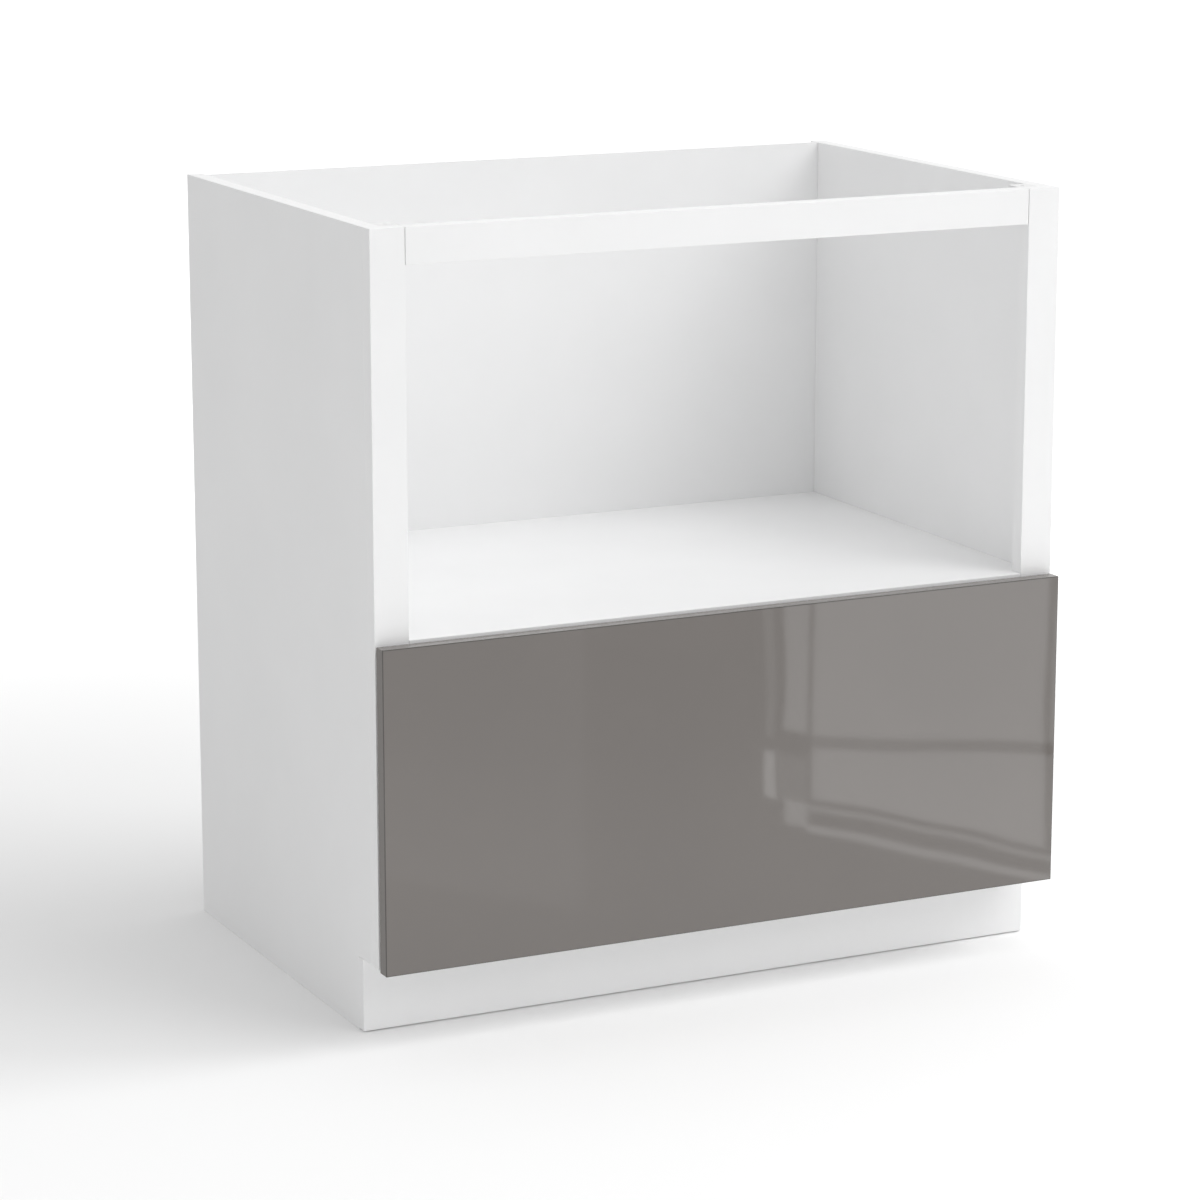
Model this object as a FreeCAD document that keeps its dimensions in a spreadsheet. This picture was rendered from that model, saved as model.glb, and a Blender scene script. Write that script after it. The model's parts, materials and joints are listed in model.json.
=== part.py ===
import FreeCAD, Part
import math
import os
from types import SimpleNamespace

import Sketcher
from FreeCAD import Placement, Rotation, Vector

# Microwave base cabinet: an open niche over one handleless drawer on ball-bearing runners.
# Millimetres, +X to the right, +Y to the back, +Z up, origin on the floor under the middle of the cabinet.

SIZES = {
    # Carcass
    "cabinet_width": 800.0,
    "cabinet_height": 845.0,
    "carcass_depth": 520.0,
    "panel_thickness": 18.0,
    "edge_bevel": 0.4,
    "shelf_height": 425.0,
    "notch_gap": 0.3,
    # Face frame
    "frame_thickness": 18.0,
    "stile_width": 38.0,
    "rail_height": 38.0,
    "rail_joint_gap": 0.6,
    # Toe space and plinth
    "toe_height": 80.0,
    "plinth_setback": 42.0,
    "plinth_thickness": 12.0,
    "plinth_top_gap": 0.3,
    "plinth_floor_gap": 1.5,
    # Back panel
    "back_thickness": 6.0,
    "back_inset": 12.0,
    "back_groove_depth": 8.0,
    "back_groove_gap": 0.2,
    # Drawer front
    "front_gap": 2.5,
    "front_thickness": 16.0,
    "front_side_inset": 0.7,
    "front_drop": 3.0,
    "front_overlap": 2.0,
    "front_edge_radius": 0.6,
    # Drawer box
    "box_board": 15.0,
    "box_height": 200.0,
    "box_floor_gap": 14.0,
    "tray_thickness": 6.0,
    "tray_lift": 12.0,
    "tray_groove_depth": 7.0,
    "tray_groove_gap": 0.2,
    # Runners
    "runner_length": 450.0,
    "runner_height": 45.0,
    "runner_width": 12.7,
    "runner_sheet": 1.2,
    "runner_setback": 3.0,
    "runner_lift": 60.0,
    "runner_flange": 10.2,
    "cabinet_lip": 5.0,
    "middle_lip": 3.9,
    "middle_end_gap": 0.4,
    "runner_hole_radius": 2.3,
    "runner_hole_margin": 35.0,
    "window_radius": 6.0,
    "outer_race": 4.6,
    "inner_race": 3.4,
    "ball_gap": 0.2,
    "pocket_gap": 0.2,
    "cage_sheet": 0.7,
    "cage_gap": 0.55,
    "cage_lip_gap": 0.3,
    "cage_length": 200.0,
    "cage_end_margin": 16.0,
    # Spacer battens
    "batten_proud": 1.5,
    "batten_height": 80.0,
    # Push-to-open catches
    "catch_offset": 250.0,
    "catch_width": 16.0,
    "catch_height": 15.0,
    "catch_length": 76.0,
    "catch_setback": 6.0,
    "catch_ear_width": 34.0,
    "catch_ear_length": 36.0,
    "catch_ear_thickness": 3.0,
    "plunger_radius": 3.0,
    "plunger_gap": 0.2,
    "plunger_length": 56.0,
    "plunger_tip_radius": 4.5,
    "plunger_tip_length": 4.0,
    "plunger_tip_bevel": 1.0,
    "plunger_tip_gap": 0.3,
    "plunger_stroke_room": 8.0,
    # Corner brackets for the worktop
    "bracket_leg": 22.0,
    "bracket_sheet": 2.0,
    "bracket_length": 22.0,
    "bracket_gap": 0.5,
    "bracket_hole_radius": 2.5,
    # Plinth brackets
    "plinth_bracket_leg": 35.0,
    "plinth_bracket_sheet": 3.0,
    "plinth_bracket_width": 40.0,
    "plinth_bracket_offset": 240.0,
    # Dowels
    "dowel_radius": 4.0,
    "dowel_length": 30.0,
    "dowel_in_side": 12.0,
    "dowel_in_stile": 11.0,
    "dowel_inset": 40.0,
    "rail_dowel_spacing": 20.0,
    # Cam locks and their bolts
    "cam_radius": 7.4,
    "cam_height": 12.0,
    "cam_distance": 24.0,
    "cam_offset": 36.0,
    "cam_slot_width": 1.6,
    "cam_slot_length": 9.0,
    "bolt_radius": 2.8,
    "bolt_head_radius": 3.4,
    "bolt_head_length": 4.0,
    "bolt_thread_radius": 2.5,
    "bolt_thread_length": 10.0,
    "bolt_bore_radius": 4.0,
    # Holes for dowels, locks and bolts
    "hole_gap": 0.1,
    "hole_end_gap": 0.5,
}

SIDES = {"left": -1, "right": 1}
DOWELS_PER_STILE = 4
BALLS_PER_ROW = 4

# Dowels, bolts, locks and balls repeat often, so they have flats in place of round sides
PEG_FLAT_COUNT = 8
CAM_FLAT_COUNT = 12

# How far a cutting solid runs past the face that it opens
OVERRUN = 1.0

doc = FreeCAD.newDocument("MicrowaveBaseCabinet")
sheet = doc.addObject("Spreadsheet::Sheet", "Sizes")
for row, (alias, number) in enumerate(SIZES.items(), start=1):
    sheet.set(f"A{row}", alias)
    sheet.set(f"B{row}", str(number))
    sheet.setAlias(f"B{row}", alias)
doc.recompute()


class Size:
    """A length that knows its value and the formula that ties it to the sheet."""

    def __init__(self, formula, value):
        self.formula = formula
        self.value = value

    def joined(self, sign, other, value):
        return Size(f"({self.formula} {sign} {other.formula})", value)

    def __add__(self, other):
        other = as_size(other)
        return self.joined("+", other, self.value + other.value)

    def __sub__(self, other):
        other = as_size(other)
        return self.joined("-", other, self.value - other.value)

    def __mul__(self, other):
        other = as_size(other)
        return self.joined("*", other, self.value * other.value)

    def __truediv__(self, other):
        other = as_size(other)
        return self.joined("/", other, self.value / other.value)

    def __neg__(self):
        return self * -1

    __radd__ = __add__
    __rmul__ = __mul__


def as_size(length):
    return length if isinstance(length, Size) else Size(f"({float(length)})", float(length))


s = SimpleNamespace(**{alias: Size(f"Sizes.{alias}", number) for alias, number in SIZES.items()})

# Places that several pieces share
half_width = s.cabinet_width / 2
inner_half = half_width - s.panel_thickness
opening_half = half_width - s.stile_width
total_depth = s.carcass_depth + s.front_gap + s.front_thickness
front_y = -total_depth / 2
front_back_y = front_y + s.front_thickness
frame_y = front_back_y + s.front_gap
side_y = frame_y + s.frame_thickness
rear_y = total_depth / 2
back_y = rear_y - s.back_inset - s.back_thickness
plinth_y = frame_y + s.plinth_setback
toe_y = plinth_y + s.plinth_thickness
floor_z = s.toe_height + s.panel_thickness
shelf_under_z = s.shelf_height - s.panel_thickness

box_z = floor_z + s.box_floor_gap
box_top_z = box_z + s.box_height
box_back_y = front_back_y + s.runner_length
tray_z = box_z + s.tray_lift
runner_y = frame_y + s.runner_setback
runner_z = box_z + s.runner_lift
mount_half = opening_half - s.batten_proud
box_half = mount_half - s.runner_width
box_inner_half = box_half - s.box_board


def evenly(first, last, count):
    """Places from first to last, the same distance apart."""
    return [first + (last - first) * step / (count - 1) for step in range(count)]


dowel_rows = evenly(side_y + s.dowel_inset, back_y - s.dowel_inset, 3)
cam_rows = [dowel_rows[0] + s.cam_offset, dowel_rows[-1] - s.cam_offset]
stile_dowel_top = s.cabinet_height - 2 * s.dowel_inset
stile_dowel_levels = evenly(s.toe_height + s.dowel_inset, stile_dowel_top, DOWELS_PER_STILE)
rail_middle_z = s.cabinet_height - s.rail_height / 2
rail_dowel_levels = [rail_middle_z - s.rail_dowel_spacing / 2, rail_middle_z + s.rail_dowel_spacing / 2]
runner_hole_rows = [runner_y + s.runner_hole_margin, runner_y + s.runner_length - s.runner_hole_margin]

sub_parts = []


def keep(label, item):
    """Gives a finished piece its name and puts it on the list to be written."""
    item.Label = label
    sub_parts.append(item)


def bind(item, path, length):
    item.setExpression(path, as_size(length).formula)


def place(item, point):
    for axis, length in zip("xyz", point):
        bind(item, f"Placement.Base.{axis}", length)


def span(side, near, far):
    """Start and length, along X, of what lies from near to far of the middle on one side."""
    return (near if side > 0 else -far), far - near


def block(corner, lengths):
    item = doc.addObject("Part::Box", "block")
    for name, length in zip(("Length", "Width", "Height"), lengths):
        bind(item, name, length)
    place(item, corner)
    return item


TURNS = {
    "x": Rotation(Vector(0, 1, 0), 90),
    "y": Rotation(Vector(1, 0, 0), -90),
    "z": Rotation(),
}


def start_along(point, axis, sign, near, far):
    """The lower end of what runs from near to far of a point, along an axis or against it."""
    start = [as_size(length) for length in point]
    index = "xyz".index(axis)
    start[index] = start[index] + (near if sign > 0 else -as_size(far))
    return start


def rod(point, axis, sign, near, far, radius):
    """A round bar along an axis, from near to far of a point."""
    item = doc.addObject("Part::Cylinder", "rod")
    item.Placement = Placement(Vector(), TURNS[axis])
    place(item, start_along(point, axis, sign, near, far))
    bind(item, "Radius", radius)
    bind(item, "Height", as_size(far) - near)
    return item


def bar(point, axis, sign, near, far, radius, flats=PEG_FLAT_COUNT):
    """A bar with flat sides along an axis, from near to far of a point, with its flats at radius."""
    item = doc.addObject("Part::Prism", "bar")
    item.Polygon = flats
    item.Placement = Placement(Vector(), TURNS[axis] * Rotation(Vector(0, 0, 1), 180 / flats))
    place(item, start_along(point, axis, sign, near, far))
    bind(item, "Circumradius", as_size(radius) / math.cos(math.pi / flats))
    bind(item, "Height", as_size(far) - near)
    return item


def bundle(items):
    """Separate solids kept together."""
    item = doc.addObject("Part::Compound", "bundle")
    item.Links = items
    return item


def fuse(items):
    item = doc.addObject("Part::MultiFuse", "fused")
    item.Shapes = items
    return item


def cut(base, tools):
    item = doc.addObject("Part::Cut", "cut")
    item.Base = base
    item.Tool = bundle(tools)
    return item


def draw_outline(sketch, corners):
    """A closed outline of straight lines, each corner held by its two distances from the origin."""
    points = [(as_size(across), as_size(up)) for across, up in corners]
    vectors = [Vector(across.value, up.value, 0) for across, up in points]
    following = list(range(1, len(points))) + [0]
    for index, after in enumerate(following):
        sketch.addGeometry(Part.LineSegment(vectors[index], vectors[after]))
    for index, after in enumerate(following):
        sketch.addConstraint(Sketcher.Constraint("Coincident", index, 2, after, 1))
    for index, point in enumerate(points):
        for kind, length in zip(("DistanceX", "DistanceY"), point):
            number = sketch.addConstraint(Sketcher.Constraint(kind, -1, 1, index, 1, length.value))
            bind(sketch, f"Constraints[{number}]", length)


def extrude(plane, corners, start, length, bevel=None, radius=None):
    """A body from an outline on a plane, from start over length along the axis square to the plane."""
    body = doc.addObject("PartDesign::Body", "board")
    sketch = body.newObject("Sketcher::SketchObject", "outline")
    origin = next(item for item in body.Origin.OriginFeatures if item.Role == f"{plane}_Plane")
    sketch.AttachmentSupport = [(origin, "")]
    sketch.MapMode = "FlatFace"
    faces_front = plane == "XZ"
    bind(sketch, "AttachmentOffset.Base.z", -start if faces_front else start)
    draw_outline(sketch, corners)
    pad = body.newObject("PartDesign::Pad", "pad")
    pad.Profile = sketch
    pad.Reversed = faces_front
    bind(pad, "Length", length)
    if bevel is not None:
        edges = body.newObject("PartDesign::Chamfer", "edges")
        edges.Base = (pad, [])
        edges.UseAllEdges = True
        bind(edges, "Size", bevel)
    if radius is not None:
        edges = body.newObject("PartDesign::Fillet", "edges")
        edges.Base = (pad, [])
        edges.UseAllEdges = True
        bind(edges, "Radius", radius)
    return body


def rectangle(low, high):
    return [(low[0], low[1]), (high[0], low[1]), (high[0], high[1]), (low[0], high[1])]


def dowel_hole(point, axis, sign, depth):
    return bar(point, axis, sign, -OVERRUN, depth + s.hole_end_gap, s.dowel_radius + s.hole_gap)


def board_joints(side, rows):
    """Points on a side panel's inner face where the bottom panel and the shelf are joined to it."""
    middles = [level + s.panel_thickness / 2 for level in (s.toe_height, shelf_under_z)]
    return [(side * inner_half, row, middle) for middle in middles for row in rows]


def stile_joints(side):
    """Points on a side panel's front edge where its stile is dowelled."""
    return [(side * (half_width - s.panel_thickness / 2), side_y, level) for level in stile_dowel_levels]


def rail_joints(side):
    """Points on a stile's inner edge where the top rail is dowelled."""
    return [(side * opening_half, frame_y + s.frame_thickness / 2, level) for level in rail_dowel_levels]


# Carcass


def side_panel(name, side):
    outline = [
        (toe_y, 0),
        (rear_y, 0),
        (rear_y, s.cabinet_height),
        (side_y, s.cabinet_height),
        (side_y, s.toe_height),
        (toe_y, s.toe_height),
    ]
    start, thickness = span(side, inner_half, half_width)
    board = extrude("YZ", outline, start, thickness, bevel=s.edge_bevel)
    groove_start, groove_width = span(side, inner_half - OVERRUN, inner_half + s.back_groove_depth)
    groove = block(
        (groove_start, back_y - s.back_groove_gap, -OVERRUN),
        (groove_width, s.back_thickness + 2 * s.back_groove_gap, s.cabinet_height + 2 * OVERRUN),
    )
    holes = [dowel_hole(point, "x", side, s.dowel_in_side) for point in board_joints(side, dowel_rows)]
    for point in board_joints(side, cam_rows):
        depth = s.bolt_thread_length + s.hole_end_gap
        holes.append(bar(point, "x", side, -OVERRUN, depth, s.bolt_thread_radius + s.hole_gap))
    for point in stile_joints(side):
        holes.append(dowel_hole(point, "y", 1, s.dowel_length - s.dowel_in_stile))
    keep(f"side_panel_{name}", cut(board, [groove] + holes))


def stile(name, side):
    start, width = span(side, opening_half, half_width)
    outline = rectangle((start, s.toe_height), (start + width, s.cabinet_height))
    board = extrude("XZ", outline, frame_y, s.frame_thickness, bevel=s.edge_bevel)
    holes = [dowel_hole(point, "y", -1, s.dowel_in_stile) for point in stile_joints(side)]
    holes += [dowel_hole(point, "x", side, s.dowel_length / 2) for point in rail_joints(side)]
    keep(f"stile_{name}", cut(board, holes))


def top_rail():
    reach = opening_half - s.rail_joint_gap
    outline = rectangle((-reach, s.cabinet_height - s.rail_height), (reach, s.cabinet_height))
    board = extrude("XZ", outline, frame_y, s.frame_thickness, bevel=s.edge_bevel)
    holes = []
    for side in SIDES.values():
        holes += [dowel_hole(point, "x", -side, s.dowel_length / 2) for point in rail_joints(side)]
    keep("top_rail", cut(board, holes))


def cam_seat(side, row, level):
    """The pocket for a cam lock, open below, with the bore that lets its bolt in from the board's end."""
    lock = (side * (inner_half - s.cam_distance), row, level)
    end = (side * inner_half, row, level + s.panel_thickness / 2)
    pocket_depth = s.cam_height + s.hole_end_gap
    pocket = bar(lock, "z", 1, -OVERRUN, pocket_depth, s.cam_radius + s.hole_gap, CAM_FLAT_COUNT)
    bore = bar(end, "x", -side, -OVERRUN, s.cam_distance, s.bolt_bore_radius)
    return fuse([pocket, bore])


def level_board(label, level):
    """The bottom panel or the shelf: between the side panels, notched round the stiles."""
    nose = opening_half - s.notch_gap
    shoulder_y = side_y + s.notch_gap
    outline = [
        (-nose, frame_y),
        (nose, frame_y),
        (nose, shoulder_y),
        (inner_half, shoulder_y),
        (inner_half, back_y),
        (-inner_half, back_y),
        (-inner_half, shoulder_y),
        (-nose, shoulder_y),
    ]
    board = extrude("XY", outline, level, s.panel_thickness, bevel=s.edge_bevel)
    middle = level + s.panel_thickness / 2
    holes = []
    for side in SIDES.values():
        for row in dowel_rows:
            end = (side * inner_half, row, middle)
            holes.append(dowel_hole(end, "x", -side, s.dowel_length - s.dowel_in_side))
        holes += [cam_seat(side, row, level) for row in cam_rows]
    keep(label, cut(board, holes))


def back_panel():
    reach = inner_half + s.back_groove_depth - s.back_groove_gap
    height = s.cabinet_height - s.toe_height
    keep("back_panel", block((-reach, back_y, s.toe_height), (2 * reach, s.back_thickness, height)))


def plinth_board():
    outline = rectangle((-half_width, s.plinth_floor_gap), (half_width, s.toe_height - s.plinth_top_gap))
    keep("plinth_board", extrude("XZ", outline, plinth_y, s.plinth_thickness, bevel=s.edge_bevel))


def plinth_bracket(name, side):
    """An angle with a web, behind the plinth and under the bottom panel."""
    leg = s.plinth_bracket_leg
    thickness = s.plinth_bracket_sheet
    top = s.toe_height
    outline = [
        (toe_y, top),
        (toe_y, top - leg),
        (toe_y + thickness, top - leg),
        (toe_y + thickness, top - thickness),
        (toe_y + leg, top - thickness),
        (toe_y + leg, top),
    ]
    web = [
        (toe_y + thickness / 2, top - thickness / 2),
        (toe_y + thickness / 2, top - leg + thickness),
        (toe_y + leg - thickness, top - thickness / 2),
    ]
    middle = side * s.plinth_bracket_offset
    angle = extrude("YZ", outline, middle - s.plinth_bracket_width / 2, s.plinth_bracket_width)
    rib = extrude("YZ", web, middle - thickness / 2, thickness)
    keep(f"plinth_bracket_{name}", fuse([angle, rib]))


def corner_bracket(name, side):
    """An angle behind a stile: one leg on the side panel, the other level under the worktop."""
    top = s.cabinet_height
    wall = side * inner_half
    inner_wall = side * (inner_half - s.bracket_sheet)
    tip = side * (inner_half - s.bracket_leg)
    outline = [
        (wall, top),
        (wall, top - s.bracket_leg),
        (inner_wall, top - s.bracket_leg),
        (inner_wall, top - s.bracket_sheet),
        (tip, top - s.bracket_sheet),
        (tip, top),
    ]
    start = side_y + s.bracket_gap
    angle = extrude("XZ", outline, start, s.bracket_length)
    flange_middle = (side * (inner_half - s.bracket_leg / 2), start + s.bracket_length / 2, top)
    hole = rod(flange_middle, "z", -1, -OVERRUN, s.bracket_sheet + OVERRUN, s.bracket_hole_radius)
    keep(f"corner_bracket_{name}", cut(angle, [hole]))


def spacer_batten(name, side):
    """A batten on the side panel that brings the runner past the stile."""
    start, thickness = span(side, mount_half, inner_half)
    reach = s.batten_height / 2
    outline = rectangle((start, runner_z - reach), (start + thickness, runner_z + reach))
    length = runner_y + s.runner_length - side_y
    keep(f"spacer_batten_{name}", extrude("XZ", outline, side_y, length, bevel=s.edge_bevel))


# Runners: each profile is drawn by its distance from the batten and its height about the runner's middle

half_runner = s.runner_height / 2
half_middle = half_runner - s.runner_sheet - s.outer_race
half_drawer = half_middle - s.runner_sheet - s.inner_race
outer_cage_base = s.runner_sheet + s.cage_gap
middle_base = outer_cage_base + s.cage_sheet + s.cage_gap
inner_cage_base = middle_base + s.runner_sheet + s.cage_gap
drawer_tip = inner_cage_base + s.cage_sheet + s.cage_gap
middle_tip = s.runner_width - s.runner_sheet - s.middle_end_gap
outer_cage_tip = s.runner_flange - s.runner_sheet - s.cage_lip_gap
inner_cage_tip = middle_tip - s.runner_sheet - s.cage_lip_gap
cage_y = runner_y + (s.runner_length - s.cage_length) / 2


def channel(base, tip, half_height, thickness, inward=1, lip=None):
    """The outline of a channel with its web at base and its flanges' ends at tip, turned in by lip."""
    web = base + inward * thickness
    end = tip - inward * thickness
    inside = half_height - thickness
    lower = [(base, -half_height), (tip, -half_height)]
    if lip is None:
        lower += [(tip, -inside)]
    else:
        lower += [(tip, lip - half_height), (end, lip - half_height), (end, -inside)]
    lower += [(web, -inside)]
    upper = [(across, -height) for across, height in reversed(lower)]
    return lower + upper


def runner_profile(side, outline):
    return [(side * (mount_half - across), runner_z + height) for across, height in outline]


def runner_member(label, side, outline, web, hole_radius):
    """A rolled channel with a hole through its web near each end."""
    rail = extrude("XZ", runner_profile(side, outline), runner_y, s.runner_length)
    centres = [(side * (mount_half - web), row, runner_z) for row in runner_hole_rows]
    reach = s.runner_sheet + OVERRUN
    keep(label, cut(rail, [rod(centre, "x", 1, -reach, reach, hole_radius) for centre in centres]))


def ball(centre, radius):
    """A ball with flats, as wide as the given radius along each axis."""
    item = doc.addObject("Part::MultiCommon", "ball")
    item.Shapes = [bar(centre, axis, 1, -2 * radius, 2 * radius, radius) for axis in "xyz"]
    return item


def ball_cage(level_name, name, side, base, tip, race_middle, race):
    """A folded strip with pockets in both flanges, and the balls that run in them."""
    radius = race / 2 - s.ball_gap
    outline = channel(base, tip, race_middle + s.cage_sheet / 2, s.cage_sheet)
    strip = extrude("XZ", runner_profile(side, outline), cage_y, s.cage_length)
    across = side * (mount_half - (base + s.cage_sheet + tip) / 2)
    rows = evenly(cage_y + s.cage_end_margin, cage_y + s.cage_length - s.cage_end_margin, BALLS_PER_ROW)
    reach = radius + s.pocket_gap
    pockets = []
    balls = []
    for row in rows:
        for level in (runner_z - race_middle, runner_z + race_middle):
            corner = (across - reach, row - reach, level - s.cage_sheet)
            pockets.append(block(corner, (2 * reach, 2 * reach, 2 * s.cage_sheet)))
            balls.append(ball((across, row, level), radius))
    keep(f"runner_{level_name}_cage_{name}", cut(strip, pockets))
    keep(f"runner_{level_name}_balls_{name}", bundle(balls))


def runner(name, side):
    cabinet = channel(0, s.runner_flange, half_runner, s.runner_sheet, lip=s.cabinet_lip)
    middle = channel(middle_base, middle_tip, half_middle, s.runner_sheet, lip=s.middle_lip)
    drawer = channel(s.runner_width, drawer_tip, half_drawer, s.runner_sheet, inward=-1)
    outer_middle = half_middle + s.outer_race / 2
    inner_middle = half_drawer + s.inner_race / 2
    runner_member(f"runner_cabinet_member_{name}", side, cabinet, 0, s.runner_hole_radius)
    ball_cage("outer", name, side, outer_cage_base, outer_cage_tip, outer_middle, s.outer_race)
    runner_member(f"runner_middle_member_{name}", side, middle, middle_base, s.window_radius)
    ball_cage("inner", name, side, inner_cage_base, inner_cage_tip, inner_middle, s.inner_race)
    runner_member(f"runner_drawer_member_{name}", side, drawer, s.runner_width, s.runner_hole_radius)


# Drawer


def drawer_front():
    reach = half_width - s.front_side_inset
    outline = rectangle((-reach, s.toe_height - s.front_overlap), (reach, s.shelf_height - s.front_drop))
    keep("drawer_front", extrude("XZ", outline, front_y, s.front_thickness, radius=s.front_edge_radius))


def tray_groove(start_x, width, start_y, length):
    """The groove that takes the edge of the drawer's bottom."""
    height = s.tray_thickness + 2 * s.tray_groove_gap
    return block((start_x, start_y, tray_z - s.tray_groove_gap), (width, length, height))


def drawer_side(name, side):
    start, thickness = span(side, box_inner_half, box_half)
    outline = rectangle((front_back_y, box_z), (box_back_y, box_top_z))
    board = extrude("YZ", outline, start, thickness, bevel=s.edge_bevel)
    groove_start, groove_width = span(side, box_inner_half - OVERRUN, box_inner_half + s.tray_groove_depth)
    shortening = s.box_board - s.tray_groove_depth
    groove_length = s.runner_length - 2 * shortening
    groove = tray_groove(groove_start, groove_width, front_back_y + shortening, groove_length)
    keep(f"drawer_side_{name}", cut(board, [groove]))


def drawer_end(label, start, groove_y):
    """The front or back board of the drawer box, between its sides."""
    outline = rectangle((-box_inner_half, box_z), (box_inner_half, box_top_z))
    board = extrude("XZ", outline, start, s.box_board, bevel=s.edge_bevel)
    reach = box_inner_half + OVERRUN
    groove = tray_groove(-reach, 2 * reach, groove_y, s.tray_groove_depth + OVERRUN)
    keep(label, cut(board, [groove]))


def drawer_box():
    inner_front_y = front_back_y + s.box_board
    inner_back_y = box_back_y - s.box_board
    drawer_end("drawer_box_front", front_back_y, inner_front_y - s.tray_groove_depth)
    drawer_end("drawer_box_back", inner_back_y, inner_back_y - OVERRUN)
    for name, side in SIDES.items():
        drawer_side(name, side)
    edge = s.tray_groove_depth - s.tray_groove_gap
    reach = box_inner_half + edge
    length = inner_back_y - inner_front_y + 2 * edge
    tray = block((-reach, inner_front_y - edge, tray_z), (2 * reach, length, s.tray_thickness))
    keep("drawer_bottom", tray)


# Push-to-open catches under the shelf


def catch(name, side):
    middle = side * s.catch_offset
    half = s.catch_width / 2
    foot = half / 2
    axis_z = shelf_under_z - s.catch_height / 2
    sole = shelf_under_z - s.catch_height
    outline = [
        (middle - half, shelf_under_z),
        (middle - half, axis_z),
        (middle - foot, sole),
        (middle + foot, sole),
        (middle + half, axis_z),
        (middle + half, shelf_under_z),
    ]
    start = frame_y + s.catch_setback
    case = extrude("XZ", outline, start, s.catch_length)
    ear_y = start + (s.catch_length - s.catch_ear_length) / 2
    ears = block(
        (middle - s.catch_ear_width / 2, ear_y, shelf_under_z - s.catch_ear_thickness),
        (s.catch_ear_width, s.catch_ear_length, s.catch_ear_thickness),
    )
    bore_depth = s.plunger_length + s.plunger_stroke_room
    bore = rod((middle, start, axis_z), "y", 1, -OVERRUN, bore_depth, s.plunger_radius + s.plunger_gap)
    keep(f"catch_housing_{name}", cut(fuse([case, ears]), [bore]))

    tip = (middle, front_back_y + s.plunger_tip_gap, axis_z)
    crown = doc.addObject("Part::Cone", "crown")
    crown.Placement = Placement(Vector(), TURNS["y"])
    place(crown, tip)
    bind(crown, "Radius1", s.plunger_tip_radius - s.plunger_tip_bevel)
    bind(crown, "Radius2", s.plunger_tip_radius)
    bind(crown, "Height", s.plunger_tip_bevel)
    cap = rod(tip, "y", 1, s.plunger_tip_bevel, s.plunger_tip_length, s.plunger_tip_radius)
    shank = rod(tip, "y", 1, s.plunger_tip_length, s.plunger_length, s.plunger_radius)
    keep(f"catch_plunger_{name}", fuse([crown, cap, shank]))


# Dowels and cam fittings, each kind in one node


def dowels():
    pegs = []
    for side in SIDES.values():
        for point in board_joints(side, dowel_rows):
            in_board = s.dowel_length - s.dowel_in_side
            pegs.append(bar(point, "x", side, -in_board, s.dowel_in_side, s.dowel_radius))
        for point in stile_joints(side):
            in_side = s.dowel_length - s.dowel_in_stile
            pegs.append(bar(point, "y", 1, -s.dowel_in_stile, in_side, s.dowel_radius))
        for point in rail_joints(side):
            pegs.append(bar(point, "x", side, -s.dowel_length / 2, s.dowel_length / 2, s.dowel_radius))
    keep("dowels", bundle(pegs))


def cam_lock(point, side):
    """A lock with a driver slot below and a way through it for the bolt."""
    sole = point[2] - s.panel_thickness / 2
    seat = (point[0] - side * s.cam_distance, point[1], sole)
    disc = bar(seat, "z", 1, 0, s.cam_height, s.cam_radius, CAM_FLAT_COUNT)
    way = bar(point, "x", -side, 0, 2 * s.cam_distance, s.bolt_head_radius + s.hole_gap)
    slot = block(
        (seat[0] - s.cam_slot_length / 2, seat[1] - s.cam_slot_width / 2, sole - OVERRUN),
        (s.cam_slot_length, s.cam_slot_width, OVERRUN + s.cam_slot_width),
    )
    return cut(disc, [way, slot])


def cam_bolt(point, side):
    """A bolt held in the side panel by its thread, with its head in the lock."""
    neck = s.cam_distance - s.bolt_head_length / 2
    thread = bar(point, "x", side, 0, s.bolt_thread_length, s.bolt_thread_radius)
    shank = bar(point, "x", -side, 0, neck, s.bolt_radius)
    head = bar(point, "x", -side, neck, neck + s.bolt_head_length, s.bolt_head_radius)
    return fuse([thread, shank, head])


def cam_fittings():
    points = {side: board_joints(side, cam_rows) for side in SIDES.values()}
    keep("cam_locks", bundle([cam_lock(point, side) for side in points for point in points[side]]))
    keep("cam_bolts", bundle([cam_bolt(point, side) for side in points for point in points[side]]))


def build():
    for name, side in SIDES.items():
        side_panel(name, side)
        stile(name, side)
        corner_bracket(name, side)
        plinth_bracket(name, side)
        spacer_batten(name, side)
        runner(name, side)
        catch(name, side)
    top_rail()
    level_board("bottom_panel", s.toe_height)
    level_board("microwave_shelf", shelf_under_z)
    back_panel()
    plinth_board()
    drawer_front()
    drawer_box()
    dowels()
    cam_fittings()
    doc.recompute()


def check():
    """Stops if any feature failed, or a piece has no sound solid."""
    for item in doc.Objects:
        if "Invalid" in item.State or "Error" in item.State:
            raise RuntimeError(f"{item.Label} failed: {item.State}")
    for item in sub_parts:
        if item.Shape.isNull() or not item.Shape.isValid() or not item.Shape.Solids:
            raise RuntimeError(f"{item.Label} has no sound solid")


build()
check()
os.makedirs("parts", exist_ok=True)
for item in sub_parts:
    item.Shape.exportStep(f"parts/{item.Label}.step")
print(f"{len(sub_parts)} pieces written")
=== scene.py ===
import json
import math

import bmesh
import bpy
from mathutils import Matrix, Vector


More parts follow.
